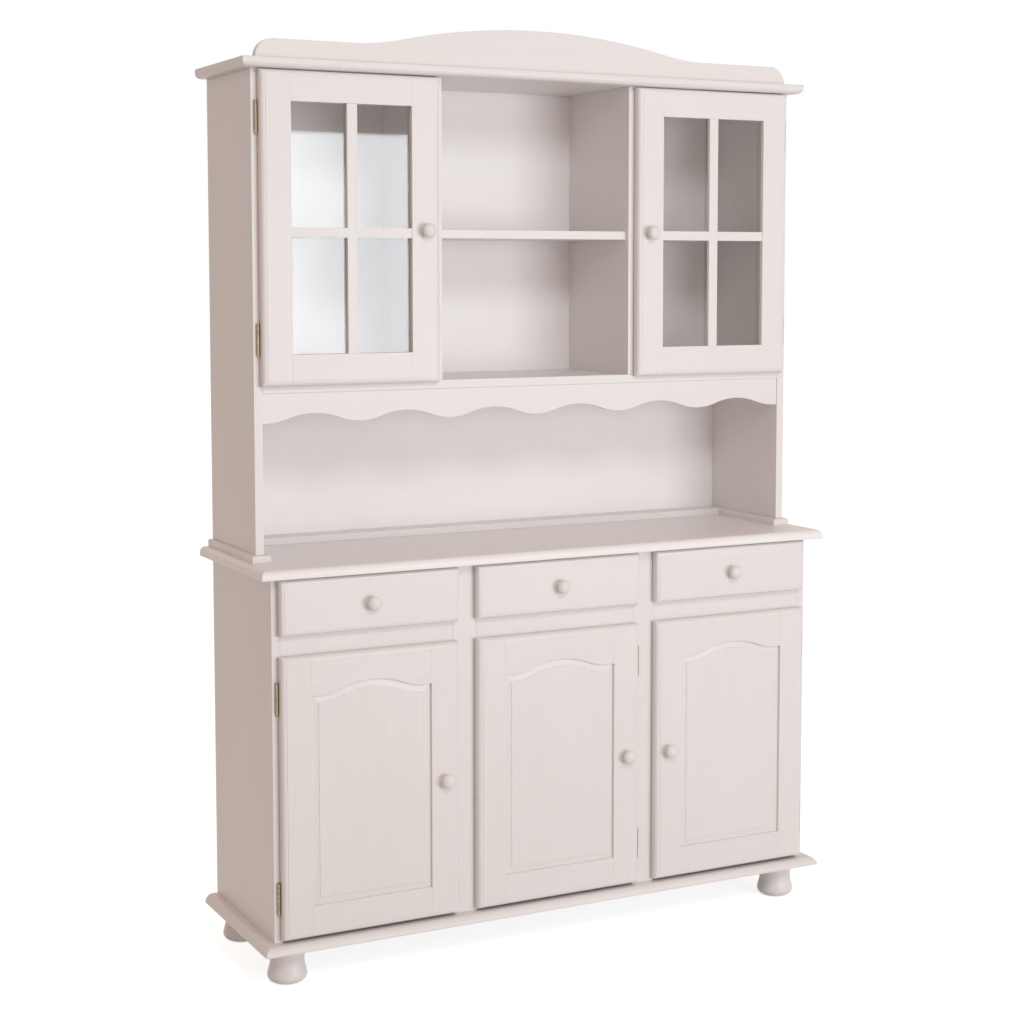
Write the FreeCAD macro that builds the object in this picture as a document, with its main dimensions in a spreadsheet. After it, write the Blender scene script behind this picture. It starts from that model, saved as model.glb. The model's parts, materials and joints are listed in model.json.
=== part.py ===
import FreeCAD, Part
import Sketcher
import math
import os

# A white painted dresser in two parts: a base with three drawers over three doors on bun feet,
# and a hutch standing on it with two glazed doors, open bays, a waved valance and an arched pediment.
# Frame: X runs to the right, Y to the rear, Z up; the origin is on the floor at the middle of the box.

doc = FreeCAD.newDocument("Dresser")
sheet = doc.addObject("Spreadsheet::Sheet", "Sizes")


class Length:
    """A length with its value and the text that binds it to the sheet."""

    def __init__(self, text, value):
        self.text = text
        self.value = value

    def join(self, sign, other, value, swap=False):
        first, second = self.text, other.text if isinstance(other, Length) else repr(other)
        if swap:
            first, second = second, first
        return Length(f"({first} {sign} {second})", value)

    def __float__(self):
        return float(self.value)

    def __add__(self, other):
        return self.join("+", other, self.value + float(other))

    def __sub__(self, other):
        return self.join("-", other, self.value - float(other))

    def __mul__(self, other):
        return self.join("*", other, self.value * float(other))

    def __truediv__(self, other):
        return self.join("/", other, self.value / float(other))

    def __rmul__(self, other):
        return self.join("*", other, float(other) * self.value, swap=True)

    def __neg__(self):
        return Length(f"(-{self.text})", -self.value)


ZERO = Length("0", 0.0)
row = 0


def write_cell(word, content, note):
    """One row of the sheet: word, number or formula, and what it means."""
    global row
    row += 1
    sheet.set(f"A{row}", word)
    sheet.set(f"B{row}", content)
    sheet.setAlias(f"B{row}", word)
    sheet.set(f"C{row}", note)


def size(word, number, note=""):
    """A driving size."""
    write_cell(word, str(number), note)
    return Length(f"Sizes.{word}", float(number))


def derive(word, length, note=""):
    """A size that follows from others, kept in the sheet as a formula."""
    write_cell(word, "=" + length.text.replace("Sizes.", ""), note)
    return Length(f"Sizes.{word}", length.value)


# Driving sizes of the carcass
carcass_width = size("carcass_width", 1270, "over the side panels")
panel = size("panel", 18, "thickness of sides, dividers and shelves")
base_depth = size("base_depth", 358, "front edge of the base's sides to the rear plane")
hutch_depth = size("hutch_depth", 272, "front edge of the hutch's sides to the rear plane")
back_sheet = size("back_sheet", 4, "thickness of both back sheets")
back_lap = size("back_lap", 9, "how far a back sheet runs into the side's rebate")
housing = size("housing", 6, "depth of a housing for a shelf")
foot_height = size("foot_height", 77, "floor to the bottom board")
foot_inset = size("foot_inset", 41, "foot axis in from the carcass's side, front and rear")
base_side_height = size("base_side_height", 733, "bottom board to worktop")
worktop_thick = size("worktop_thick", 20, "worktop")
runner_height = size("runner_height", 15, "runners under the hutch")
hutch_side_height = size("hutch_side_height", 962, "runner to cornice")
cornice_thick = size("cornice_thick", 20, "cornice board")
bottom_side_nose = size("bottom_side_nose", 27, "bottom board beyond the side")
bottom_front_nose = size("bottom_front_nose", 29, "bottom board beyond the front edges")
bottom_round = size("bottom_round", 17, "moulded top edge of the bottom board")
worktop_side_nose = size("worktop_side_nose", 28.5, "worktop beyond the side")
worktop_front_nose = size("worktop_front_nose", 32, "worktop beyond the front edges")
worktop_top_round = size("worktop_top_round", 12, "moulded top edge of the worktop")
worktop_low_round = size("worktop_low_round", 2, "lower edge of the worktop")
cornice_side_nose = size("cornice_side_nose", 25, "cornice beyond the side")
cornice_front_nose = size("cornice_front_nose", 30, "cornice beyond the front edges")
cornice_low_round = size("cornice_low_round", 12, "moulded lower edge of the cornice")
cornice_top_round = size("cornice_top_round", 2, "top edge of the cornice")

# Driving sizes of the front
overlay = size("overlay", 3, "doors and drawer fronts over the rails above and below their openings")
side_overlay = size("side_overlay", 5.4, "doors and drawer fronts over the sides of their openings")
mullion_width = size("mullion_width", 53, "upright between two openings")
rail_thick = size("rail_thick", 20, "mullions and drawer rails, front to back")
drawer_rail_height = size("drawer_rail_height", 47, "rail between drawer and door")
door_foot_gap = size("door_foot_gap", 6.5, "bottom board to door")
drawer_front_height = size("drawer_front_height", 111.5, "drawer front")
worktop_gap = size("worktop_gap", 3.5, "drawer front to worktop")
door_thick = size("door_thick", 18, "doors and drawer fronts")
front_step = size("front_step", 1, "step round the face of a door or drawer front")
door_band = size("door_band", 11, "moulded edge of a door, from its edge to the step")
door_round = size("door_round", 9.5, "rounding in a door's moulded edge")
drawer_band = size("drawer_band", 8.5, "moulded edge of a drawer front, from its edge to the step")
drawer_round = size("drawer_round", 7.5, "rounding in a drawer front's moulded edge")
stile = size("stile", 63.4, "door stiles")
top_rail = size("top_rail", 61, "top rail of a hutch door")
arched_rail = size("arched_rail", 58.5, "top rail of a base door at the crown of its arch")
bottom_rail = size("bottom_rail", 63.5, "bottom rail of a hutch door")
base_bottom_rail = size("base_bottom_rail", 65, "bottom rail of a base door")

# Driving sizes of the arched rail and the raised panel
arch_rise = size("arch_rise", 22.5, "crown over shoulder")
arch_reach = size("arch_reach", 112, "half width of the arch")
arch_crown_share = 0.62
groove_depth = size("groove_depth", 10, "groove round the panel")
groove_width = size("groove_width", 6, "groove round the panel")
panel_play = size("panel_play", 0.3, "panel in its groove, all ways")
field_inset = size("field_inset", 15, "bevel round the panel's raised field")
field_setback = size("field_setback", 2, "raised field behind the frame's face")
field_step = size("field_step", 1.2, "step from the bevel up to the raised field")

# Driving sizes of the hutch
open_height = size("open_height", 322, "runner top to the hutch floor")
hutch_door_lap = size("hutch_door_lap", 4, "hutch door over the edge of the floor board")
cornice_gap = size("cornice_gap", 2, "hutch door to cornice")
shelf_rise = size("shelf_rise", 293, "hutch floor to shelf")
shelf_setback = size("shelf_setback", 11, "shelf front behind the panels' front edges")
muntin_width = size("muntin_width", 22, "upright glazing bar")
muntin_height = size("muntin_height", 20, "level glazing bars")
muntin_setback = size("muntin_setback", 1.5, "glazing bars behind the frame's face")
glass_thick = size("glass_thick", 3, "pane")
glass_lap = size("glass_lap", 8, "rebate round the pane")
glass_depth = size("glass_depth", 8, "rebate from the door's back")
glass_play = size("glass_play", 0.5, "pane in its rebate")
valance_setback = size("valance_setback", 2.5, "valance behind the floor's front edge")
valance_thick = size("valance_thick", 16, "valance")
valance_drop = size("valance_drop", 60.5, "valance at its lowest")
wave_height = size("wave_height", 18.5, "height of a wave")
wave_flat = size("wave_flat", 8, "flat at each end of the waves")
wave_count = 6
wave_crest_share = 0.55
pediment_setback = size("pediment_setback", 27, "pediment behind the cornice's front")
pediment_inset = size("pediment_inset", 9.5, "pediment end in from the carcass's side")
pediment_thick = size("pediment_thick", 18, "pediment")
pediment_shoulder = size("pediment_shoulder", 39, "pediment over the cornice at its ends")
pediment_rise = size("pediment_rise", 46, "crown over the shoulders")
pediment_reach = size("pediment_reach", 415, "half width of the arch")
pediment_end_round = size("pediment_end_round", 37, "rounded ends")
pediment_crown_share = 0.76
runner_width = size("runner_width", 40, "runner under a hutch side")
runner_side_nose = size("runner_side_nose", 10, "runner beyond the side")
runner_front_nose = size("runner_front_nose", 10, "runner beyond the front edge")
runner_round = size("runner_round", 5, "rounded top edges of the runners")
back_runner_depth = size("back_runner_depth", 55, "runner under the back sheet, front to back")

# Driving sizes of drawers, hinges and turned pieces
drawer_play = size("drawer_play", 2, "drawer box to the carcass, each side")
running_gap = size("running_gap", 0.5, "drawer box over its rail and bearers")
drawer_wall = size("drawer_wall", 12, "drawer sides, inner front and back")
drawer_box_height = size("drawer_box_height", 90, "drawer box")
drawer_box_depth = size("drawer_box_depth", 320, "drawer box")
drawer_bottom = size("drawer_bottom", 4, "drawer bottom")
drawer_bottom_rise = size("drawer_bottom_rise", 10, "drawer bottom over the box's lower edge")
bearer_width = size("bearer_width", 20, "bearer under a drawer side")
bearer_height = size("bearer_height", 20, "bearer")
guide_height = size("guide_height", 18, "guide strip on a middle bearer")
bearer_end_gap = size("bearer_end_gap", 6, "bearer to the back sheet")
base_shelf_rise = size("base_shelf_rise", 268, "bottom board to base shelf")
base_shelf_setback = size("base_shelf_setback", 60, "base shelf behind the front edges")
hinge_length = size("hinge_length", 65, "hinge")
hinge_leaf = size("hinge_leaf", 1.4, "leaf thickness")
hinge_leaf_gap = size("hinge_leaf_gap", 0.2, "between the closed leaves")
hinge_outset = size("hinge_outset", 3.6, "pin axis beyond the door's edge")
knuckle_radius = size("knuckle_radius", 3.25, "hinge barrel")
knuckle_clearance = size("knuckle_clearance", 0.35, "barrel to the carcass, leaf and next knuckle")
pin_radius = size("pin_radius", 1.5, "hinge pin")
pin_clearance = size("pin_clearance", 0.05, "pin in its knuckles")
leaf_width = size("leaf_width", 26, "leaf on the door")
leaf_wrap = size("leaf_wrap", 18, "carcass leaf along the opening's side")
base_hinge_inset = size("base_hinge_inset", 84, "hinge centre from the end of a base door")
hutch_hinge_inset = size("hutch_hinge_inset", 93, "hinge centre from the end of a hutch door")
knob_reach = size("knob_reach", 25, "knob out of the front")
knob_radius = size("knob_radius", 15, "knob head")
knob_foot_radius = size("knob_foot_radius", 8, "knob where it meets the front")
knob_neck_radius = size("knob_neck_radius", 6.5, "knob neck")
knob_neck_rise = size("knob_neck_rise", 4, "neck over the front")
knob_rim_rise = size("knob_rim_rise", 15, "widest part over the front")
knob_lip_drop = size("knob_lip_drop", 4, "lip of the head below its widest part")
knob_lip_width = size("knob_lip_width", 2.5, "lip in from the widest part")
foot_collar_radius = size("foot_collar_radius", 39.5, "foot under the bottom board")
foot_collar_height = size("foot_collar_height", 19, "straight part under the bottom board")
foot_neck_radius = size("foot_neck_radius", 35, "foot neck")
foot_neck_rise = size("foot_neck_rise", 41, "neck over the floor")
foot_bulge_radius = size("foot_bulge_radius", 40.5, "foot at its widest")
foot_bulge_rise = size("foot_bulge_rise", 16, "widest part over the floor")
foot_sole_radius = size("foot_sole_radius", 25, "foot on the floor")
overrun = size("overrun", 1, "how far cutters run past what they cut")

# Levels and widths that follow
door_gap = derive("door_gap", 2 * hinge_leaf + hinge_leaf_gap, "carcass front to the doors' backs")
rear_plane = derive("rear_plane", (base_depth + door_gap + door_thick + knob_reach) / 2, "rear")
half_width = derive("half_width", carcass_width / 2)
half_inner = derive("half_inner", half_width - panel)
opening = derive("opening", (half_inner * 2 - mullion_width * 2) / 3, "width of one opening")
mullion_inner = derive("mullion_inner", opening / 2)
mullion_outer = derive("mullion_outer", mullion_inner + mullion_width)
divider_inner = derive("divider_inner", mullion_outer - panel)
front_width = derive("front_width", opening + side_overlay * 2, "doors and drawer fronts")
board_top = derive("board_top", foot_height + panel)
base_top = derive("base_top", board_top + base_side_height)
worktop_top = derive("worktop_top", base_top + worktop_thick)
hutch_base = derive("hutch_base", worktop_top + runner_height)
hutch_top = derive("hutch_top", hutch_base + hutch_side_height)
cornice_top = derive("cornice_top", hutch_top + cornice_thick)
drawer_front_low = derive("drawer_front_low", base_top - worktop_gap - drawer_front_height)
drawer_rail_top = derive("drawer_rail_top", drawer_front_low + overlay)
drawer_rail_low = derive("drawer_rail_low", drawer_rail_top - drawer_rail_height)
base_door_low = derive("base_door_low", board_top + door_foot_gap)
base_door_height = derive("base_door_height", drawer_rail_low + overlay - base_door_low)
floor_low = derive("floor_low", hutch_base + open_height)
floor_top = derive("floor_top", floor_low + panel)
hutch_door_low = derive("hutch_door_low", floor_top - hutch_door_lap)
hutch_door_height = derive("hutch_door_height", hutch_top - cornice_gap - hutch_door_low)
shelf_low = derive("shelf_low", floor_top + shelf_rise)
base_shelf_low = derive("base_shelf_low", board_top + base_shelf_rise)
pin_setoff = derive("pin_setoff", knuckle_radius + knuckle_clearance, "pin axis to carcass front")
base_front = derive("base_front", rear_plane - base_depth, "Y of the base's front edges")
hutch_front = derive("hutch_front", rear_plane - hutch_depth, "Y of the hutch's front edges")
back_face = derive("back_face", rear_plane - back_sheet, "Y of the back sheets' front")
doc.recompute()


def bind(item, prop, length):
    """Bind one property of an object to a length."""
    item.setExpression(prop, length.text)


def place(item, x=ZERO, y=ZERO, z=ZERO):
    """Bind an object's place."""
    for axis, length in zip("xyz", (x, y, z)):
        bind(item, "Placement.Base." + axis, length)
    return item


def board(name, low, extent):
    """A plain board: its low corner and its extent along X, Y and Z."""
    box = doc.addObject("Part::Box", name)
    for prop, length in zip(("Length", "Width", "Height"), extent):
        bind(box, prop, length)
    return place(box, *low)


def cylinder(name, low, radius, height):
    """An upright cylinder."""
    rod = doc.addObject("Part::Cylinder", name)
    bind(rod, "Radius", radius)
    bind(rod, "Height", height)
    return place(rod, *low)


def compound(name, items):
    """Several solids in one object."""
    group = doc.addObject("Part::Compound", name)
    group.Links = items
    return group


def fused(name, items):
    """Several shapes made one solid."""
    whole = doc.addObject("Part::MultiFuse", name)
    whole.Shapes = items
    return whole


def cut(name, base, cutters):
    """A solid less its cutters."""
    tool = cutters[0] if len(cutters) == 1 else compound(name + "_cutters", cutters)
    result = doc.addObject("Part::Cut", name)
    result.Base = base
    result.Tool = tool
    return result


def rounded(name, base, choices):
    """Round edges: choices pairs a radius with a test on an edge's middle and direction."""
    doc.recompute()
    result = doc.addObject("Part::Fillet", name)
    result.Base = base
    picked = []
    for number, edge in enumerate(base.Shape.Edges, 1):
        middle = edge.CenterOfMass
        along = edge.tangentAt(edge.FirstParameter)
        for radius, test in choices:
            if test(middle, along):
                picked.append((number, float(radius), float(radius)))
                break
    result.Edges = picked
    return result


def near(one, other):
    """Whether two places agree."""
    return abs(one - float(other)) < float(overrun) / 100


def feature(name, shape):
    """An object whose shape is made from the sheet's values."""
    item = doc.addObject("Part::Feature", name)
    item.Shape = shape
    return item


parts = []


def finish(item, label):
    """Give a sub-part its label and keep it for the export."""
    item.Label = label
    parts.append(item)
    return item


def low_x(sign, inner, width):
    """Low X of a piece whose near side is at inner on the side that sign gives."""
    return inner if sign > 0 else -(inner + width)


SIDES = (("left", -1), ("right", 1))


# Turned pieces: feet and knobs

def turned(name, corners, bends):
    """A body turned about Z from a half profile; bends gives arc radii by the corner that they start at."""
    body = doc.addObject("PartDesign::Body", name)
    sketch = body.newObject("Sketcher::SketchObject", name + "_profile")
    plane = [item for item in body.Origin.OriginFeatures if item.Role == "XZ_Plane"][0]
    sketch.AttachmentSupport = [(plane, "")]
    sketch.MapMode = "FlatFace"
    points = [FreeCAD.Vector(float(x), float(y), 0) for x, y in corners]
    ends = []
    for index, start in enumerate(points):
        stop = points[(index + 1) % len(points)]
        if index in bends:
            radius = float(bends[index])
            sense = 1 if radius > 0 else -1
            chord = stop - start
            middle = (start + stop) / 2
            height = math.sqrt(radius ** 2 - (chord.Length / 2) ** 2)
            normal = FreeCAD.Vector(-chord.y, chord.x, 0).normalize()
            centre = middle + normal * (height * sense)
            first, second = (start, stop) if sense > 0 else (stop, start)
            angles = [math.atan2(p.y - centre.y, p.x - centre.x) for p in (first, second)]
            if angles[1] < angles[0]:
                angles[1] += 2 * math.pi
            circle = Part.Circle(centre, FreeCAD.Vector(0, 0, 1), abs(radius))
            sketch.addGeometry(Part.ArcOfCircle(circle, angles[0], angles[1]), False)
            ends.append((1, 2) if sense > 0 else (2, 1))
        else:
            sketch.addGeometry(Part.LineSegment(start, stop), False)
            ends.append((1, 2))
    count = len(points)
    for index in range(count):
        after = (index + 1) % count
        sketch.addConstraint(Sketcher.Constraint("Coincident", index, ends[index][1], after, ends[after][0]))
    for index, (x, y) in enumerate(corners):
        for kind, length, axis in (("DistanceX", x, -2), ("DistanceY", y, -1)):
            if length is ZERO:
                sketch.addConstraint(Sketcher.Constraint("PointOnObject", index, ends[index][0], axis))
            else:
                number = sketch.addConstraint(
                    Sketcher.Constraint(kind, -1, 1, index, ends[index][0], float(length)))
                bind(sketch, f"Constraints[{number}]", length)
        if index in bends:
            radius = bends[index] if float(bends[index]) > 0 else -bends[index]
            number = sketch.addConstraint(Sketcher.Constraint("Radius", index, float(radius)))
            bind(sketch, f"Constraints[{number}]", radius)
    doc.recompute()
    turn = body.newObject("PartDesign::Revolution", name + "_turn")
    turn.Profile = sketch
    turn.ReferenceAxis = (sketch, ["V_Axis"])
    turn.Angle = 360
    return body


def tangent_radius(across, along):
    """Radius of an arc that leaves the line it runs along and gains across."""
    return (across * across + along * along) / (2 * across)


def foot(name):
    """A bun foot, from its sole to the bottom board."""
    slack = (foot_bulge_radius - foot_neck_radius) / 2
    half_rise = (foot_neck_rise - foot_bulge_rise) / 2
    collar_low = foot_height - foot_collar_height
    corners = [
        (ZERO, ZERO),
        (foot_sole_radius, ZERO),
        (foot_bulge_radius, foot_bulge_rise),
        (foot_neck_radius + slack, foot_bulge_rise + half_rise),
        (foot_neck_radius, foot_neck_rise),
        (foot_collar_radius, collar_low),
        (foot_collar_radius, foot_height),
        (ZERO, foot_height)]
    bends = {
        1: tangent_radius(foot_bulge_radius - foot_sole_radius, foot_bulge_rise),
        2: tangent_radius(slack, half_rise),
        3: -tangent_radius(slack, half_rise),
        4: -tangent_radius(foot_collar_radius - foot_neck_radius, collar_low - foot_neck_rise)}
    return turned(name, corners, bends)


for side, sign in SIDES:
    for end, y in (("front", base_front + foot_inset), ("rear", rear_plane - foot_inset)):
        name = f"foot_{end}_{side}"
        item = foot(name + "_body")
        x = half_width - foot_inset
        place(item, x if sign > 0 else -x, y, ZERO)
        finish(item, name)


def knob(name, x, y, z):
    """A turned knob on a front, its axis along Y."""
    corners = [
        (ZERO, ZERO),
        (knob_foot_radius, ZERO),
        (knob_neck_radius, knob_neck_rise),
        (knob_radius - knob_lip_width, knob_rim_rise - knob_lip_drop),
        (knob_radius, knob_rim_rise),
        (ZERO, knob_reach)]
    bends = {
        2: -tangent_radius(knob_radius - knob_lip_width - knob_neck_radius,
                           knob_rim_rise - knob_lip_drop - knob_neck_rise),
        3: tangent_radius(knob_lip_width, knob_lip_drop),
        4: tangent_radius(knob_reach - knob_rim_rise, knob_radius)}
    item = turned(name + "_body", corners, bends)
    item.Placement = FreeCAD.Placement(
        FreeCAD.Vector(), FreeCAD.Rotation(FreeCAD.Vector(1, 0, 0), 90))
    place(item, x, y, z)
    return finish(item, name)


# Base: bottom board, sides, dividers, mullions, rails, back sheet, shelves and worktop

def moulded_board(name, side_nose, depth, low, thick, top_round, low_round):
    """A board with its front and both ends moulded, its rear edge plain."""
    half = half_width + side_nose
    blank = board(name + "_blank", (-half, rear_plane - depth, low), (half * 2, depth, thick))
    front = rear_plane - depth

    def on_nose(middle, along):
        return near(along.z, 0) and not near(middle.y, rear_plane)

    choices = []
    if low_round is not None:
        choices.append((low_round, lambda m, a: on_nose(m, a) and near(m.z, low)))
    if top_round is not None:
        choices.append((top_round, lambda m, a: on_nose(m, a) and near(m.z, low + thick)))
    return finish(rounded(name + "_moulded", blank, choices), name)


moulded_board("bottom_board", bottom_side_nose, base_depth + bottom_front_nose, foot_height, panel,
              bottom_round, None)
moulded_board("worktop", worktop_side_nose, base_depth + worktop_front_nose, base_top, worktop_thick,
              worktop_top_round, worktop_low_round)
moulded_board("cornice", cornice_side_nose, hutch_depth + cornice_front_nose, hutch_top,
              cornice_thick, cornice_top_round, cornice_low_round)


def shelf_housing(name, sign, face, setback, front, low):
    """Cutter for a stopped housing in the panel face at X face; sign points into the panel."""
    start = front + setback
    x = face - overrun if sign > 0 else face - housing
    return board(name, (x, start, low), (housing + overrun, back_face - start, panel))


def back_rebate(name, sign, low, height):
    """Cutter for the rebate that takes a back sheet, in a side's inner rear edge."""
    x = half_inner - overrun if sign > 0 else -(half_inner + back_lap)
    return board(name, (x, back_face, low - overrun),
                 (back_lap + overrun, back_sheet + overrun, height + overrun * 2))


for side, sign in SIDES:
    inner = half_inner if sign > 0 else -half_inner
    outer_divider = mullion_outer if sign > 0 else -mullion_outer
    inner_divider = divider_inner if sign > 0 else -divider_inner

    name = f"base_side_{side}"
    blank = board(name + "_blank", (low_x(sign, half_inner, panel), base_front, board_top),
                  (panel, base_depth, base_side_height))
    cutters = [
        back_rebate(name + "_rebate", sign, board_top, base_side_height),
        shelf_housing(name + "_housing", sign, inner, base_shelf_setback, base_front,
                      base_shelf_low)]
    finish(cut(name + "_cut", blank, cutters), name)

    name = f"base_divider_{side}"
    divider_start = base_front + rail_thick
    blank = board(name + "_blank", (low_x(sign, divider_inner, panel), divider_start, board_top),
                  (panel, back_face - divider_start, base_side_height))
    cutters = [
        shelf_housing(name + "_outer_housing", -sign, outer_divider, base_shelf_setback, base_front,
                      base_shelf_low),
        shelf_housing(name + "_inner_housing", sign, inner_divider, base_shelf_setback, base_front,
                      base_shelf_low)]
    finish(cut(name + "_cut", blank, cutters), name)

    name = f"base_mullion_{side}"
    item = board(name + "_board", (low_x(sign, mullion_inner, mullion_width), base_front, board_top),
                 (mullion_width, rail_thick, base_side_height))
    finish(item, name)

    name = f"hutch_side_{side}"
    blank = board(name + "_blank", (low_x(sign, half_inner, panel), hutch_front, hutch_base),
                  (panel, hutch_depth, hutch_side_height))
    cutters = [
        back_rebate(name + "_rebate", sign, hutch_base, hutch_side_height),
        shelf_housing(name + "_housing", sign, inner, shelf_setback, hutch_front, shelf_low),
        shelf_housing(name + "_floor_housing", sign, inner, shelf_setback, hutch_front, floor_low)]
    finish(cut(name + "_cut", blank, cutters), name)

    name = f"hutch_divider_{side}"
    blank = board(name + "_blank", (low_x(sign, divider_inner, panel), hutch_front, floor_top),
                  (panel, hutch_depth - back_sheet, hutch_top - floor_top))
    cutters = [
        shelf_housing(name + "_outer_housing", -sign, outer_divider, shelf_setback, hutch_front,
                      shelf_low),
        shelf_housing(name + "_inner_housing", sign, inner_divider, shelf_setback, hutch_front,
                      shelf_low)]
    finish(cut(name + "_cut", blank, cutters), name)

    name = f"hutch_foot_{side}"
    runner_inner = half_width + runner_side_nose - runner_width
    blank = board(name + "_blank",
                  (low_x(sign, runner_inner, runner_width), hutch_front - runner_front_nose, worktop_top),
                  (runner_width, hutch_depth + runner_front_nose, runner_height))
    item = rounded(name + "_rounded", blank, [(
        runner_round,
        lambda m, a: near(m.z, hutch_base) and near(a.z, 0) and not near(m.y, rear_plane))])
    finish(item, name)

runner_gap = half_width + runner_side_nose - runner_width
item = board("hutch_foot_back_board", (-runner_gap, rear_plane - back_runner_depth, worktop_top),
             (runner_gap * 2, back_runner_depth, runner_height))
finish(item, "hutch_foot_back")

for name, low, height in (("base_back", board_top, base_side_height),
                          ("hutch_back", hutch_base, hutch_side_height)):
    half = half_inner + back_lap
    finish(board(name + "_sheet", (-half, back_face, low), (half * 2, back_sheet, height)), name)


def shelf_between(name, low_end, high_end, setback, front, low):
    """A shelf whose ends stand in housings in the faces at low_end and high_end."""
    start = front + setback
    return board(name, (low_end - housing, start, low),
                 (high_end - low_end + housing * 2, back_face - start, panel))


base_shelves = [
    shelf_between("base_shelf_1", -half_inner, -mullion_outer, base_shelf_setback, base_front,
                  base_shelf_low),
    shelf_between("base_shelf_2", -divider_inner, divider_inner, base_shelf_setback, base_front,
                  base_shelf_low),
    shelf_between("base_shelf_3", mullion_outer, half_inner, base_shelf_setback, base_front,
                  base_shelf_low)]
finish(compound("base_shelf_group", base_shelves), "base_shelves")
hutch_shelves = [
    shelf_between("hutch_shelf_1", -half_inner, -mullion_outer, shelf_setback, hutch_front, shelf_low),
    shelf_between("hutch_shelf_2", -divider_inner, divider_inner, shelf_setback, hutch_front,
                  shelf_low),
    shelf_between("hutch_shelf_3", mullion_outer, half_inner, shelf_setback, hutch_front, shelf_low)]
finish(compound("hutch_shelf_group", hutch_shelves), "hutch_shelves")

# The hutch floor has its front corners notched round the stopped housings, so that it fills the front
floor_core = board("hutch_floor_core", (-half_inner, hutch_front, floor_low),
                   (half_inner * 2, hutch_depth - back_sheet, panel))
floor_tongue = shelf_between("hutch_floor_tongue", -half_inner, half_inner, shelf_setback, hutch_front,
                             floor_low)
finish(fused("hutch_floor_board", [floor_core, floor_tongue]), "hutch_floor")

rail_starts = (-half_inner, -mullion_inner, mullion_outer)
rails = []
for number, x in enumerate(rail_starts, 1):
    rails.append(board(f"drawer_rail_{number}", (x, base_front, drawer_rail_low),
                       (opening, rail_thick, drawer_rail_height)))
finish(compound("drawer_rail_group", rails), "drawer_rails")

# Bearers and guides that carry the drawers
bearer_low = drawer_rail_top - bearer_height
bearer_start = base_front + rail_thick
bearer_run = back_face - bearer_end_gap - bearer_start
bearers = []
for side, sign in SIDES:
    bearers.append(board(f"bearer_outer_{side}",
                         (low_x(sign, half_inner - bearer_width, bearer_width), bearer_start, bearer_low),
                         (bearer_width, bearer_run, bearer_height)))
    bearers.append(board(f"bearer_inner_{side}",
                         (low_x(sign, mullion_outer, bearer_width), bearer_start, bearer_low),
                         (bearer_width, bearer_run, bearer_height)))
    reach = mullion_inner - bearer_width
    bearers.append(board(f"bearer_middle_{side}",
                         (low_x(sign, reach, divider_inner - reach), bearer_start, bearer_low),
                         (divider_inner - reach, bearer_run, bearer_height)))
    bearers.append(board(f"guide_middle_{side}",
                         (low_x(sign, mullion_inner, divider_inner - mullion_inner), bearer_start,
                          drawer_rail_top),
                         (divider_inner - mullion_inner, bearer_run, guide_height)))
finish(compound("bearer_group", bearers), "drawer_bearers")


# Outlines made of lines and of waves that are two tangent arcs

def vector(x, z, y=0.0):
    """A point of an outline that stands in the plane at y."""
    return FreeCAD.Vector(float(x), float(y), float(z))


def wave(x0, z0, x1, z1, first_share, y=0.0, shift=0.0):
    """Two arcs from (x0, z0) to (x1, z1), level at both ends; shift moves them down as an offset does."""
    run = x1 - x0
    rise = z1 - z0
    radius = (run ** 2 + rise ** 2) / (2 * abs(rise))
    angle = math.asin(abs(run) / radius)
    across = math.copysign(1, run)
    up = math.copysign(1, rise)
    first = radius * first_share
    second = radius - first
    first_drawn = first + up * shift
    second_drawn = second - up * shift
    first_centre = (x0, z0 + up * first)
    second_centre = (x1, z1 - up * second)

    def on_first(turn):
        return vector(first_centre[0] + across * first_drawn * math.sin(turn),
                      first_centre[1] - up * first_drawn * math.cos(turn), y)

    def on_second(turn):
        return vector(second_centre[0] - across * second_drawn * math.sin(turn),
                      second_centre[1] + up * second_drawn * math.cos(turn), y)

    return [
        Part.Arc(on_first(0), on_first(angle / 2), on_first(angle)).toShape(),
        Part.Arc(on_first(angle), on_second(angle / 2), on_second(0)).toShape()]


def line(start, stop):
    """A straight edge."""
    return Part.LineSegment(start, stop).toShape()


def slab(edges, thick):
    """A closed outline in an XZ plane, made a solid towards the rear."""
    face = Part.Face(Part.Wire(edges))
    return face.extrude(FreeCAD.Vector(0, thick, 0))


# Pediment on the cornice

def pediment_shape():
    """The arched board, its front at Y zero and its foot at Z zero."""
    half = float(half_width - pediment_inset)
    low = float(pediment_shoulder)
    high = float(pediment_shoulder + pediment_rise)
    reach = float(pediment_reach)
    bend = float(pediment_end_round)
    edges = [line(vector(half, 0), vector(-half, 0)),
             line(vector(-half, 0), vector(-half, low - bend))]
    corner = bend * (1 - math.sqrt(0.5))
    edges.append(Part.Arc(vector(-half, low - bend), vector(-half + corner, low - corner),
                          vector(-half + bend, low)).toShape())
    edges.append(line(vector(-half + bend, low), vector(-reach, low)))
    edges += wave(-reach, low, 0, high, 1 - pediment_crown_share)
    edges += wave(0, high, reach, low, pediment_crown_share)
    edges.append(line(vector(reach, low), vector(half - bend, low)))
    edges.append(Part.Arc(vector(half - bend, low), vector(half - corner, low - corner),
                          vector(half, low - bend)).toShape())
    edges.append(line(vector(half, low - bend), vector(half, 0)))
    return slab(edges, float(pediment_thick))


item = feature("pediment_board", pediment_shape())
place(item, ZERO, hutch_front - cornice_front_nose + pediment_setback, cornice_top)
finish(item, "pediment")


# Valance under the hutch floor

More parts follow.
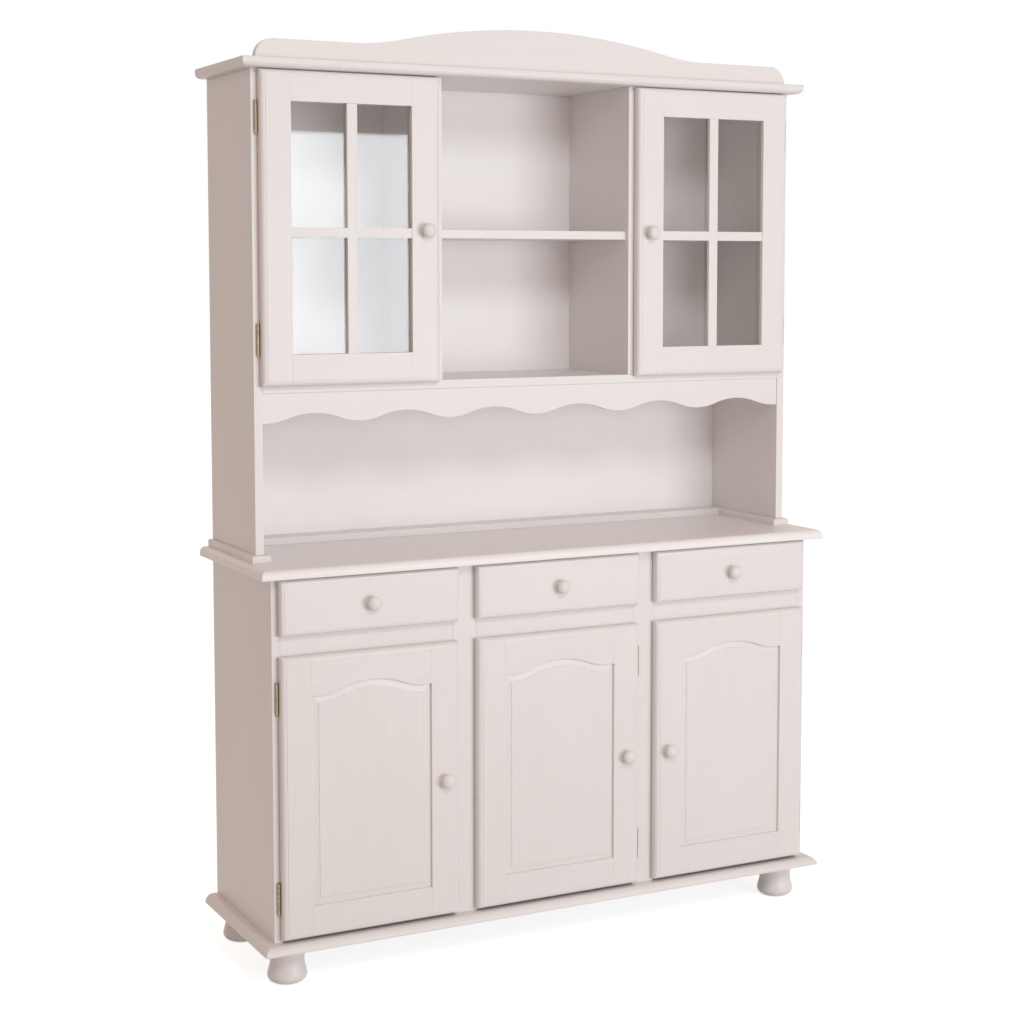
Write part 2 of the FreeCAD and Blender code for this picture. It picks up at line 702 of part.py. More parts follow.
def valance_shape():
    """The waved board, its front at Y zero and its top at Z zero."""
    half = float(half_inner)
    low = -float(valance_drop)
    high = low + float(wave_height)
    start = half - float(wave_flat)
    step = start / wave_count
    edges = [line(vector(half, low), vector(half, 0)), line(vector(half, 0), vector(-half, 0)),
             line(vector(-half, 0), vector(-half, low)), line(vector(-half, low), vector(-start, low))]
    x = -start
    for _ in range(wave_count):
        edges += wave(x, low, x + step, high, 1 - wave_crest_share)
        edges += wave(x + step, high, x + step * 2, low, wave_crest_share)
        x += step * 2
    edges.append(line(vector(start, low), vector(half, low)))
    return slab(edges, float(valance_thick))


item = feature("valance_board", valance_shape())
place(item, ZERO, hutch_front + valance_setback, floor_low)
finish(item, "valance")


# Doors: each is made at the origin, its left lower rear corner there, and then put in its place

def arched_outline(shift, y):
    """The opening of a base door, drawn in by shift on every side, at Y y."""
    left = float(stile) + shift
    right = float(front_width - stile) - shift
    low = float(base_bottom_rail) + shift
    crown = float(base_door_height - arched_rail)
    shoulder = crown - float(arch_rise)
    middle = float(front_width) / 2
    reach = float(arch_reach)
    edges = [line(vector(left, low, y), vector(left, shoulder - shift, y)),
             line(vector(left, shoulder - shift, y), vector(middle - reach, shoulder - shift, y))]
    edges += wave(middle - reach, shoulder, middle, crown, 1 - arch_crown_share, y, shift)
    edges += wave(middle, crown, middle + reach, shoulder, arch_crown_share, y, shift)
    edges += [line(vector(middle + reach, shoulder - shift, y), vector(right, shoulder - shift, y)),
              line(vector(right, shoulder - shift, y), vector(right, low, y)),
              line(vector(right, low, y), vector(left, low, y))]
    return Part.Wire(edges)


def face_band(name, low, height, band):
    """Cutter for the band that steps back round the face of a front whose low front corner is at low."""
    x, y, z = low
    outer = board(name + "_band_outer", (x - overrun, y - overrun, z - overrun),
                  (front_width + overrun * 2, front_step + overrun, height + overrun * 2))
    inner = board(name + "_band_inner", (x + band, y - overrun * 2, z + band),
                  (front_width - band * 2, front_step + overrun * 3, height - band * 2))
    return cut(name + "_band", outer, [inner])


def stiles_and_rails(name, height, low_height, top_height):
    """Blanks of a door's two stiles and two rails, their outer front edges moulded."""
    inner_width = front_width - stile * 2
    top = float(height)
    band = face_band(name, (ZERO, -door_thick, ZERO), height, door_band)

    def moulded(blank, test):
        stepped = cut(blank.Name + "_stepped", blank, [band])
        return rounded(blank.Name + "_moulded", stepped, [(
            door_round, lambda m, a: near(m.y, front_step - door_thick) and test(m))])

    left = board(name + "_left_stile", (ZERO, -door_thick, ZERO), (stile, door_thick, height))
    right = board(name + "_right_stile", (front_width - stile, -door_thick, ZERO),
                  (stile, door_thick, height))
    low = board(name + "_bottom_rail", (stile, -door_thick, ZERO),
                (inner_width, door_thick, low_height))
    high = board(name + "_top_rail", (stile, -door_thick, height - top_height),
                 (inner_width, door_thick, top_height))
    return [
        moulded(left, lambda m: near(m.x, ZERO) or near(m.z, ZERO) or near(m.z, top)),
        moulded(right, lambda m: near(m.x, front_width) or near(m.z, ZERO) or near(m.z, top)),
        moulded(low, lambda m: near(m.z, ZERO)),
        moulded(high, lambda m: near(m.z, top))]


def base_door(side, x):
    """Frame with an arched top rail, and a raised panel in its groove."""
    name = f"base_door_{side}"
    y = base_front - door_gap
    groove_front = -float(door_thick + groove_width) / 2
    groove = slab(arched_outline(-float(groove_depth), groove_front).Edges, float(groove_width))
    window = slab(arched_outline(0.0, -float(door_thick + overrun)).Edges,
                  float(door_thick + overrun * 2))
    groove_cutter = feature(name + "_groove", groove)
    window_cutter = feature(name + "_window", window)
    blanks = stiles_and_rails(name, base_door_height, base_bottom_rail, arched_rail + arch_rise)
    pieces = [cut(blank.Name + "_grooved", blank, [groove_cutter]) for blank in blanks[:3]]
    arched = cut(blanks[3].Name + "_arched", blanks[3], [window_cutter])
    pieces.append(cut(blanks[3].Name + "_grooved", arched, [groove_cutter]))
    frame = place(compound(name + "_frame_group", pieces), x, y, base_door_low)
    finish(frame, name + "_frame")

    play = float(panel_play)
    tongue_front = groove_front + play
    tongue = slab(arched_outline(play - float(groove_depth), tongue_front).Edges,
                  float(groove_width) - play * 2)
    bevel_top = -float(door_thick - field_setback - field_step)
    bevel = Part.makeLoft([
        arched_outline(play, tongue_front),
        arched_outline(float(field_inset), bevel_top)], True, True)
    field = slab(arched_outline(float(field_inset), bevel_top).Edges, -float(field_step))
    solid = tongue.fuse([bevel, field]).removeSplitter()
    finish(place(feature(name + "_panel_board", solid), x, y, base_door_low), name + "_panel")


def hutch_door(side, x):
    """Glazed frame with crossed glazing bars, one pane behind them, and beads that hold it."""
    name = f"hutch_door_{side}"
    y = hutch_front - door_gap
    pane_low = bottom_rail
    pane_height = hutch_door_height - top_rail - bottom_rail
    pane_width = front_width - stile * 2
    rebate = board(name + "_rebate", (stile - glass_lap, -glass_depth, pane_low - glass_lap),
                   (pane_width + glass_lap * 2, glass_depth + overrun, pane_height + glass_lap * 2))
    blanks = stiles_and_rails(name, hutch_door_height, bottom_rail, top_rail)
    pieces = [cut(blank.Name + "_rebated", blank, [rebate]) for blank in blanks]

    bar_thick = door_thick - muntin_setback - glass_depth
    bar_front = muntin_setback - door_thick
    bar_x = (front_width - muntin_width) / 2
    bar_low = shelf_low + (panel - muntin_height) / 2 - hutch_door_low
    pieces.append(board(name + "_upright_bar", (bar_x, bar_front, pane_low),
                        (muntin_width, bar_thick, pane_height)))
    for end, bar_start in (("left", stile), ("right", bar_x + muntin_width)):
        pieces.append(board(f"{name}_level_bar_{end}", (bar_start, bar_front, bar_low),
                            (bar_x - stile, bar_thick, muntin_height)))

    bead_front = glass_thick - glass_depth
    bead_thick = -bead_front
    outer_x = stile - glass_lap
    outer_low = pane_low - glass_lap
    outer_width = pane_width + glass_lap * 2
    outer_height = pane_height + glass_lap * 2
    for end, bead_x in (("left", outer_x), ("right", outer_x + outer_width - glass_lap)):
        pieces.append(board(f"{name}_bead_{end}", (bead_x, bead_front, outer_low),
                            (glass_lap, bead_thick, outer_height)))
    for end, bead_low in (("low", outer_low), ("high", outer_low + outer_height - glass_lap)):
        pieces.append(board(f"{name}_bead_{end}", (stile, bead_front, bead_low),
                            (pane_width, bead_thick, glass_lap)))
    frame = place(compound(name + "_frame_group", pieces), x, y, hutch_door_low)
    finish(frame, name + "_frame")

    glass = board(name + "_pane",
                  (x + outer_x + glass_play, y - glass_depth, hutch_door_low + outer_low + glass_play),
                  (outer_width - glass_play * 2, glass_thick, outer_height - glass_play * 2))
    finish(glass, name + "_glass")


# Hinges: a leaf on the door's back, a cranked leaf on the carcass, and a pin through both

def hinge_leaves(name, sign, pin_x, pin_y, low):
    """Both leaves and the pin of one hinge; sign points from the pin towards the door."""
    bore = pin_radius + pin_clearance
    third = hinge_length / 3
    slack = knuckle_clearance
    root = knuckle_radius + slack
    inner_face = hinge_outset + side_overlay

    def leaf_box(part, start, width, front, thick, bottom, height):
        x = pin_x + start if sign > 0 else pin_x - start - width
        return board(f"{name}_{part}", (x, pin_y + front, bottom), (width, thick, height))

    def knuckle(part, bottom, height):
        return cylinder(f"{name}_{part}", (pin_x, pin_y, bottom), knuckle_radius, height)

    def bored(part, pieces):
        drill = cylinder(f"{name}_{part}_drill", (pin_x, pin_y, low - overrun), bore,
                         hinge_length + overrun * 2)
        return cut(f"{name}_{part}", fused(f"{name}_{part}_solid", pieces), [drill])

    door_front = pin_setoff - door_gap
    door_leaf = bored("door_leaf", [
        knuckle("door_knuckle", low + third + slack / 2, third - slack),
        leaf_box("door_plate", root, hinge_outset + leaf_width - root, door_front, hinge_leaf, low,
                 hinge_length),
        leaf_box("door_tab", ZERO, root, door_front, hinge_leaf, low + third + slack / 2,
                 third - slack)])
    fixed_front = pin_setoff - hinge_leaf
    fixed_pieces = [
        leaf_box("fixed_plate", root, inner_face + hinge_leaf - root, fixed_front, hinge_leaf, low,
                 hinge_length),
        leaf_box("fixed_wrap", inner_face, hinge_leaf, fixed_front, hinge_leaf + leaf_wrap, low,
                 hinge_length)]
    for end, bottom in (("low", low), ("high", low + third * 2 + slack / 2)):
        fixed_pieces.append(knuckle(f"fixed_knuckle_{end}", bottom, third - slack / 2))
        fixed_pieces.append(leaf_box(f"fixed_tab_{end}", ZERO, root, fixed_front, hinge_leaf, bottom,
                                     third - slack / 2))
    fixed_leaf = bored("fixed_leaf", fixed_pieces)
    pin = cylinder(f"{name}_pin", (pin_x, pin_y, low), pin_radius, hinge_length)
    return door_leaf, fixed_leaf, pin


fixed_leaves = []
hinge_pins = []


def hang(name, sign, edge, front, low, height, inset):
    """Two hinges on a door; edge is the X of its hinged edge, sign points into the door."""
    pin_x = edge - hinge_outset if sign > 0 else edge + hinge_outset
    pin_y = front - pin_setoff
    leaves = []
    for end, middle in (("low", low + inset), ("high", low + height - inset)):
        door_leaf, fixed_leaf, pin = hinge_leaves(f"{name}_hinge_{end}", sign, pin_x, pin_y,
                                                  middle - hinge_length / 2)
        leaves.append(door_leaf)
        fixed_leaves.append(fixed_leaf)
        hinge_pins.append(pin)
    finish(compound(name + "_leaf_group", leaves), name + "_hinge_leaves")


left_x = -(half_inner + side_overlay)
middle_x = -(mullion_inner + side_overlay)
right_x = mullion_outer - side_overlay
base_knob_z = base_door_low + base_door_height / 2
base_door_front = base_front - door_gap - door_thick
hutch_knob_z = hutch_door_low + hutch_door_height / 2
hutch_door_front = hutch_front - door_gap - door_thick

# The left door hangs on its left edge, the middle and right doors on their right edges.
# The middle door has its knob on the same side as its hinges.
for side, x, hinge_sign, knob_x in (
        ("left", left_x, 1, left_x + front_width - stile / 2),
        ("middle", middle_x, -1, middle_x + front_width - stile / 2),
        ("right", right_x, -1, right_x + stile / 2)):
    name = f"base_door_{side}"
    base_door(side, x)
    edge = x if hinge_sign > 0 else x + front_width
    hang(name, hinge_sign, edge, base_front, base_door_low, base_door_height, base_hinge_inset)
    knob(name + "_knob", knob_x, base_door_front, base_knob_z)

for side, x, hinge_sign, knob_x in (
        ("left", left_x, 1, left_x + front_width - stile / 2),
        ("right", right_x, -1, right_x + stile / 2)):
    name = f"hutch_door_{side}"
    hutch_door(side, x)
    edge = x if hinge_sign > 0 else x + front_width
    hang(name, hinge_sign, edge, hutch_front, hutch_door_low, hutch_door_height, hutch_hinge_inset)
    knob(name + "_knob", knob_x, hutch_door_front, hutch_knob_z)

finish(compound("fixed_leaf_group", fixed_leaves), "hinge_leaves_fixed")
finish(compound("hinge_pin_group", hinge_pins), "hinge_pins")


# Drawers: a front screwed to a box whose bottom slides in grooves

def drawer(side, x):
    """One drawer: front, box and knob."""
    name = f"drawer_{side}"
    y = base_front - door_gap - door_thick

    def on_outline(middle):
        across = near(middle.x, x) or near(middle.x, x + front_width)
        return across or near(middle.z, drawer_front_low) or near(
            middle.z, drawer_front_low + drawer_front_height)

    blank = board(name + "_front_blank", (x, y, drawer_front_low),
                  (front_width, door_thick, drawer_front_height))
    band = face_band(name, (x, y, drawer_front_low), drawer_front_height, drawer_band)
    stepped = cut(name + "_front_stepped", blank, [band])
    front = rounded(name + "_front_moulded", stepped, [(drawer_round, lambda m, a: near(
        m.y, y + front_step) and on_outline(m))])
    finish(front, name + "_front")

    box_x = x + side_overlay + drawer_play
    box_width = opening - drawer_play * 2
    box_y = base_front - door_gap
    box_low = drawer_rail_top + running_gap
    groove = drawer_wall / 2
    sheet_low = box_low + drawer_bottom_rise
    bottom_low = (box_x + groove, box_y + groove, sheet_low)
    bottom_extent = (box_width - groove * 2, drawer_box_depth - groove * 2, drawer_bottom)
    bottom = board(name + "_bottom", bottom_low, bottom_extent)
    walls = []
    for part, low, extent in (
            ("side_left", (box_x, box_y, box_low), (drawer_wall, drawer_box_depth, drawer_box_height)),
            ("side_right", (box_x + box_width - drawer_wall, box_y, box_low),
             (drawer_wall, drawer_box_depth, drawer_box_height)),
            ("inner_front", (box_x + drawer_wall, box_y, box_low),
             (box_width - drawer_wall * 2, drawer_wall, drawer_box_height)),
            ("inner_back", (box_x + drawer_wall, box_y + drawer_box_depth - drawer_wall, box_low),
             (box_width - drawer_wall * 2, drawer_wall, drawer_box_height))):
        blank = board(f"{name}_{part}", low, extent)
        walls.append(cut(f"{name}_{part}_grooved", blank, [bottom]))
    finish(compound(name + "_box_group", walls + [bottom]), name + "_box")
    knob(name + "_knob", x + front_width / 2, y, drawer_front_low + drawer_front_height / 2)


for side, x in (("left", left_x), ("middle", middle_x), ("right", right_x)):
    drawer(side, x)

# Check every object, then write one file for each sub-part
doc.recompute()
faults = [item.Name for item in doc.Objects if "Invalid" in item.State or "Error" in item.State]
if faults:
    raise RuntimeError("failed objects: " + ", ".join(faults))
labels = [item.Label for item in parts]
if len(set(labels)) != len(labels) or len(labels) > 60:
    raise RuntimeError("labels must differ, and there are at most 60")
for item in parts:
    if item.Shape.isNull() or not item.Shape.isValid() or not item.Shape.Solids:
        raise RuntimeError("bad shape: " + item.Label)

os.makedirs("parts", exist_ok=True)
for item in parts:
    item.Shape.exportStep(f"parts/{item.Label}.step")
    box = item.Shape.BoundBox
    print(f"{item.Label}: {len(item.Shape.Solids)} solids, {item.Shape.Volume / 1000:.1f} cm3, "
          f"X {box.XMin:.1f} {box.XMax:.1f}, Y {box.YMin:.1f} {box.YMax:.1f}, "
          f"Z {box.ZMin:.1f} {box.ZMax:.1f}")
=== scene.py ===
import json
import math
import random
from collections import defaultdict

import bpy
import numpy as np
from mathutils import Matrix, Vector


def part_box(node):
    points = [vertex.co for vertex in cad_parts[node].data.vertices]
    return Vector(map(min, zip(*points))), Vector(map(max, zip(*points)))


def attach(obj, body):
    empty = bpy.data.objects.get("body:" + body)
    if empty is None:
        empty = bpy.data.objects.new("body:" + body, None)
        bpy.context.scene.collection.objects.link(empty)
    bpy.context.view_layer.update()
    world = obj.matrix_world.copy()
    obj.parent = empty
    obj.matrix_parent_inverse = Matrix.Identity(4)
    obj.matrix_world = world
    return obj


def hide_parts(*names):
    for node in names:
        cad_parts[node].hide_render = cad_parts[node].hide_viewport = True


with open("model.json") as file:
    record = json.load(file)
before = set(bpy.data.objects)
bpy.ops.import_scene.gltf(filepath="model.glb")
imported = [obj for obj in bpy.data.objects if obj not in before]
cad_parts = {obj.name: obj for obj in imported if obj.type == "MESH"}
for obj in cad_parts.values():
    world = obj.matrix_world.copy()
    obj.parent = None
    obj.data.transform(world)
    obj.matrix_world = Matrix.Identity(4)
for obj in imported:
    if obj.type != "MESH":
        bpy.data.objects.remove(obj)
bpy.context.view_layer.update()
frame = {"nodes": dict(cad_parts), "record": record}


# The dresser stands on a pale floor and is seen from its front left corner at eye height. A wide
# soft box behind the camera lights its front and stands mirrored in the left panes, a small lamp
# overhead lights the boards' tops, and the room gives a warm dim light all round.
white = (1, 1, 1, 1)
warm_room = (0.518, 0.398, 0.330, 1)
cool_lamp = (0.86, 0.94, 1.0)
floor_tone = (0.72, 0.76, 0.78, 1)
floor_glow = 0.74

bpy.ops.object.select_all(action="DESELECT")
bpy.ops.object.camera_add(location=(-1.9025, -3.6900, 1.4310),
                          rotation=(math.radians(85.3), 0, math.radians(-27.333)))
camera = bpy.context.object
camera.data.lens = 67.518
camera.data.sensor_width = 36
camera.data.shift_x = -0.0121
camera.data.shift_y = -0.0824
bpy.context.scene.camera = camera
bpy.context.scene.view_settings.view_transform = "Standard"


class Signal:
    """A node's output that can be reckoned with: each sign adds its Math node."""

    def __init__(self, shader, socket):
        self.shader = shader
        self.socket = socket

    def reckon(self, operation, *terms):
        return self.shader.add("ShaderNodeMath", {"operation": operation}, dict(enumerate(terms)))

    def __add__(self, other):
        return self.reckon("ADD", self, other)

    def __radd__(self, other):
        return self.reckon("ADD", other, self)

    def __sub__(self, other):
        return self.reckon("SUBTRACT", self, other)

    def __rsub__(self, other):
        return self.reckon("SUBTRACT", other, self)

    def __mul__(self, other):
        return self.reckon("MULTIPLY", self, other)

    def __rmul__(self, other):
        return self.reckon("MULTIPLY", other, self)

    def __pow__(self, other):
        return self.reckon("POWER", self, other)


class Shader:
    """A node tree that grows by one method."""

    def __init__(self, tree):
        self.tree = tree
        tree.nodes.clear()

    def add(self, kind, settings=None, values=None, out=0):
        node = self.tree.nodes.new(kind)
        for word, setting in (settings or {}).items():
            setattr(node, word, setting)
        for key, value in (values or {}).items():
            if isinstance(value, Signal):
                self.tree.links.new(value.socket, node.inputs[key])
            else:
                node.inputs[key].default_value = value
        return Signal(self, node.outputs[out]) if len(node.outputs) else None

    def show(self, surface, kind="ShaderNodeOutputMaterial"):
        """Give the tree's output its surface."""
        self.add(kind, {}, {"Surface": surface})

    def blend(self, share, first, second):
        """A colour between two, by a share from 0 to 1."""
        return self.add("ShaderNodeMix", {"data_type": "RGBA"}, {0: share, 6: first, 7: second}, 2)

    def band(self, value, low, high):
        """Where a value lies between low and high, smoothly from 0 to 1."""
        return self.add("ShaderNodeMapRange", {"interpolation_type": "SMOOTHSTEP"},
                        {"Value": value, "From Min": low, "From Max": high})

    def seen(self):
        """1 for what is seen straight, mirrored or through glass, else 0."""
        straight, mirrored, through = (
            self.add("ShaderNodeLightPath", out=word)
            for word in ("Is Camera Ray", "Is Glossy Ray", "Is Transmission Ray"))
        return straight.reckon("MINIMUM", straight + mirrored + through, 1.0)


def new_finish(name):
    """A material without nodes, and the shader that they are added to."""
    material = bpy.data.materials.new(name)
    material.use_nodes = True
    return material, Shader(material.node_tree)


def lamp(name, place, aim, width, height, power):
    """A flat lamp that shines towards a point and isn't seen itself."""
    bpy.ops.object.light_add(type="AREA", location=place)
    lit = bpy.context.object
    lit.name = name
    lit.rotation_euler = (Vector(aim) - Vector(place)).to_track_quat("-Z", "Y").to_euler()
    lit.data.shape = "RECTANGLE"
    lit.data.size = width
    lit.data.size_y = height
    lit.data.energy = power
    lit.data.color = cool_lamp
    lit.visible_camera = False


room = bpy.data.worlds.new("room")
room.use_nodes = True
bpy.context.scene.world = room
light = Shader(room.node_tree)
room_light = light.blend(light.seen(), warm_room, white)
light.show(light.add("ShaderNodeBackground", {}, {"Color": room_light}), "ShaderNodeOutputWorld")

lamp("soft_box", place=(1.95, -5.5, 1.135), aim=(1.95, 0, 1.135), width=2.85, height=1.95, power=114)
lamp("high_lamp", place=(-0.4, -4.2, 3.5), aim=(0.1, 0, 1.0), width=1.2, height=1.0, power=47)

bpy.ops.mesh.primitive_plane_add(size=40)
floor = bpy.context.object
floor.name = "floor"
floor_finish, pale = new_finish("pale_floor")
matt = pale.add("ShaderNodeBsdfDiffuse", {}, {"Color": floor_tone})
glow = pale.add("ShaderNodeEmission", {}, {"Color": white, "Strength": pale.seen() * floor_glow})
pale.show(pale.add("ShaderNodeAddShader", {}, {0: matt, 1: glow}))
floor.data.materials.append(floor_finish)


# Four turned bun feet of painted pine stand under the bottom board's corners. Each is turned from
# one square block with a swelling body over a narrow sole and a slack neck below the board, and is
# screwed up into the board from inside.
foot_profile = [(0, 0.0225), (0.0003, 0.0248), (0.0012, 0.0283), (0.003, 0.0323), (0.0055, 0.0361),
                (0.008, 0.0383), (0.011, 0.0397), (0.0145, 0.0404), (0.016, 0.0405), (0.019, 0.0402),
                (0.0225, 0.0394), (0.028, 0.0379), (0.033, 0.0363), (0.038, 0.0353), (0.0435, 0.0350),
                (0.050, 0.0352), (0.058, 0.0358), (0.066, 0.0370), (0.073, 0.0383), (0.0765, 0.0390),
                (0.077, 0.0388), (0.077, 0.030)]
along_x, along_y, along_z = 0, 1, 2


def only(*pieces):
    """Select these pieces and nothing else."""
    if bpy.context.mode != "OBJECT":
        bpy.ops.object.mode_set(mode="OBJECT")
    bpy.ops.object.select_all(action="DESELECT")
    for piece in pieces:
        piece.select_set(True)
        bpy.context.view_layer.objects.active = piece


def grain(piece, along=None):
    """Wood coordinates of every board in a piece: across, through and along it.

    Each board is its own cut. Without a way to run along, the grain takes its longest side.
    """
    mesh = piece.data
    count = len(mesh.vertices)
    place = np.empty(count * 3, np.float32)
    mesh.vertices.foreach_get("co", place)
    place = place.reshape(-1, 3)
    number = np.zeros(count, np.float32)
    if "board" in mesh.attributes:
        mesh.attributes["board"].data.foreach_get("value", number)
    number = np.round(number)
    wood = np.zeros_like(place)
    for board in np.unique(number):
        mine = number == board
        order = list(np.argsort(np.ptp(place[mine], axis=0)))
        if along is not None:
            order.remove(along)
            order.append(along)
        shift = random.Random(f"{piece.name} {int(board)}")
        wood[mine] = place[mine][:, [order[1], order[0], order[2]]]
        wood[mine] += [shift.uniform(2, 6) for _ in range(3)]
    mesh.attributes.new("wood", "FLOAT_VECTOR", "POINT").data.foreach_set("vector", wood.ravel())


def fit(piece, finish, slot, body, *nodes):
    """Give a finished piece its material and its body, and hide the CAD nodes it stands for."""
    piece.data.materials.clear()
    piece.data.materials.append(finish)
    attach(piece, body)
    if nodes:
        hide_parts(*nodes)


def drawn_noise(shader, place, across, along, detail):
    """Noise that is drawn out along the third way of a place."""
    scaled = shader.add("ShaderNodeVectorMath", {"operation": "MULTIPLY"},
                        {0: place, 1: (across, across, along)})
    return shader.add("ShaderNodeTexNoise", {}, {"Vector": scaled, "Scale": 1.0, "Detail": detail})


def solid_surface(shader, colour, roughness, height, relief, **others):
    """A closed surface whose colour and gloss change over it, with a slight relief."""
    bump = shader.add("ShaderNodeBump", {}, {"Strength": 1.0, "Distance": relief, "Height": height})
    shader.show(shader.add("ShaderNodeBsdfPrincipled", {}, {
        "Base Color": colour, "Roughness": roughness, "Normal": bump, **others}))


def painted(name, light_tone, dark_tone, relief):
    """White satin paint on pine: the growth rings, pores and brush strokes just show through."""
    material, shader = new_finish(name)
    wood = shader.add("ShaderNodeAttribute", {"attribute_name": "wood"}, {}, "Vector")
    phase = drawn_noise(shader, wood, 16, 0.9, 1.5) * 95.0
    rings = phase.reckon("SINE", phase)
    pores = drawn_noise(shader, wood, 620, 11, 2.0)
    strokes = drawn_noise(shader, wood, 190, 2.2, 3.0)
    clouds = drawn_noise(shader, wood, 7, 3, 2.0)
    tone = shader.band(strokes * 0.5 + clouds * 0.45 + rings * 0.03, 0.30, 0.68)
    solid_surface(shader,
                  colour=shader.blend(tone, dark_tone, light_tone),
                  roughness=0.29 + strokes * 0.10 + pores * 0.06,
                  height=rings * 0.22 + pores * 0.55 + strokes * 1.3,
                  relief=relief, IOR=1.46)
    return material


def turned(name, profile, around, forward=False):
    """A turned piece: a disc drawn out upwards, or towards the front, by the steps of its profile."""
    only()
    way, index = (-1, 1) if forward else (1, 2)
    turn = (math.radians(90), 0, 0) if forward else (0, 0, 0)
    start, radius = profile[0]
    place = Vector((0, 0, 0))
    place[index] += way * start
    bpy.ops.mesh.primitive_circle_add(vertices=around, radius=radius, fill_type="NGON",
                                      location=place, rotation=turn)
    piece = bpy.context.object
    piece.name = name
    bpy.ops.object.transform_apply(location=True, rotation=True, scale=True)
    bpy.ops.object.mode_set(mode="EDIT")
    bpy.ops.mesh.select_all(action="SELECT")
    for rise, wider in profile[1:]:
        step = [0, 0, 0]
        step[index] = way * (rise - start)
        place[index] += step[index]
        bpy.ops.mesh.extrude_region_move(TRANSFORM_OT_translate={"value": step})
        share = [wider / radius] * 3
        share[index] = 1
        bpy.ops.transform.resize(value=share, center_override=place)
        start, radius = rise, wider
    bpy.ops.mesh.select_all(action="SELECT")
    bpy.ops.mesh.normals_make_consistent(inside=False)
    bpy.ops.object.mode_set(mode="OBJECT")
    rounder = piece.modifiers.new("rounder", "SUBSURF")
    rounder.levels = rounder.render_levels = 1
    bpy.ops.object.modifier_apply(modifier="rounder")
    bpy.ops.object.shade_smooth_by_angle(angle=math.radians(50))
    return piece


def copied(pattern, name, place):
    """A copy of a finished piece, with its own mesh, at a place."""
    piece = bpy.data.objects.new(name, pattern.data.copy())
    bpy.context.scene.collection.objects.link(piece)
    piece.data.transform(Matrix.Translation(place))
    return piece


paint = painted("painted_pine", (0.825, 0.79, 0.78, 1), (0.80, 0.763, 0.75, 1), relief=0.000022)
foot_pattern = turned("foot_pattern", foot_profile, 56)
for corner in ("front_left", "front_right", "rear_left", "rear_right"):
    low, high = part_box(f"foot_{corner}")
    middle = (low + high) / 2
    foot = copied(foot_pattern, f"foot_{corner}_turned", (middle.x, middle.y, 0))
    grain(foot, along_z)
    fit(foot, paint, "painted_pine", "carcass", f"foot_{corner}")
bpy.data.objects.remove(foot_pattern)


# Bottom board, worktop and cornice are glued pine boards whose front and side edges are moulded
# with a router, while the rear edge stays square. The carcass boards stand in between, and the
# worktop's paint is a whiter copy of the same paint: painted light for the light on its top.
sanded_arris = 0.0006
flat_inset = 0.05


def ease(piece, width):
    """Sand the sharp edges of a piece and shade its faces flat between them."""
    only(piece)
    sanded = piece.modifiers.new("sanded", "BEVEL")
    sanded.width = width
    sanded.segments = 2
    sanded.limit_method = "ANGLE"
    sanded.angle_limit = math.radians(32)
    sanded.miter_outer = "MITER_ARC"
    bpy.ops.object.modifier_apply(modifier="sanded")
    bpy.ops.object.shade_smooth_by_angle(angle=math.radians(42))
    weighted = piece.modifiers.new("weighted", "WEIGHTED_NORMAL")
    weighted.keep_sharp = True
    bpy.ops.object.modifier_apply(modifier="weighted")


def moulded(name, node, profile):
    """A moulded board: a flat sheet drawn up level by level and in towards the rear's middle."""
    low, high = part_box(node)
    only()
    inset, rise = profile[0]
    half, depth = high.x, high.y - low.y
    middle = Vector((0, high.y, low.z))
    bpy.ops.mesh.primitive_plane_add(size=1, location=(0, (low.y + high.y) / 2, low.z))
    piece = bpy.context.object
    piece.name = name
    piece.scale = (high.x - low.x, depth, 1)
    bpy.ops.object.transform_apply(location=True, rotation=True, scale=True)
    bpy.ops.object.mode_set(mode="EDIT")
    bpy.ops.mesh.select_all(action="SELECT")
    share = ((half - inset) / half, (depth - inset) / depth, 1)
    bpy.ops.transform.resize(value=share, center_override=middle)
    for further, higher in profile[1:]:
        bpy.ops.mesh.extrude_region_move(TRANSFORM_OT_translate={"value": (0, 0, higher - rise)})
        share = ((half - further) / (half - inset), (depth - further) / (depth - inset), 1)
        bpy.ops.transform.resize(value=share, center_override=middle)
        inset, rise = further, higher
    bpy.ops.mesh.select_all(action="SELECT")
    bpy.ops.mesh.normals_make_consistent(inside=False)
    bpy.ops.object.mode_set(mode="OBJECT")
    ease(piece, sanded_arris)
    return piece


def round_under(radius, rise, steps):
    """Points (inset, rise) of a quarter round that swells out from below."""
    turns = [math.radians(90) * step / steps for step in range(steps + 1)]
    return [(radius - radius * math.sin(turn), rise + radius * (1 - math.cos(turn))) for turn in turns]


def round_over(radius, rise, steps):
    """Points (inset, rise) of a quarter round that draws in as it rises."""
    turns = [math.radians(90) * step / steps for step in range(steps + 1)]
    return [(radius * (1 - math.cos(turn)), rise + radius * math.sin(turn)) for turn in turns]


# A whiter copy of the white paint: painted light standing for the light that falls on the worktop's top.
worktop_lit_paint = painted("worktop_paint", (0.91, 0.885, 0.875, 1), (0.89, 0.862, 0.85, 1), relief=0.00002)
worktop_edge = round_under(0.002, 0, 3) + round_over(0.012, 0.008, 9) + [(flat_inset, 0.020)]
bottom_edge = [(0, 0)] + round_over(0.017, 0.001, 12) + [(flat_inset, 0.018)]
cornice_edge = round_under(0.012, 0, 9) + round_over(0.002, 0.018, 3) + [(flat_inset, 0.020)]
for node, finish, edge in (("worktop", worktop_lit_paint, worktop_edge), ("bottom_board", paint, bottom_edge),
                           ("cornice", paint, cornice_edge)):
    piece = moulded(f"{node}_moulded", node, edge)
    grain(piece, along_x)
    fit(piece, finish, "painted_pine", "carcass", node)


# The carcass of base and hutch: planed and painted pine boards, housed and dowelled together,
# with lightly sanded edges.
home = {node: body for body, nodes in frame["record"]["behaviour"]["bodies"].items() for node in nodes}
slot_of = {part["node"]: part["material_slot"] for part in frame["record"]["subparts"]}


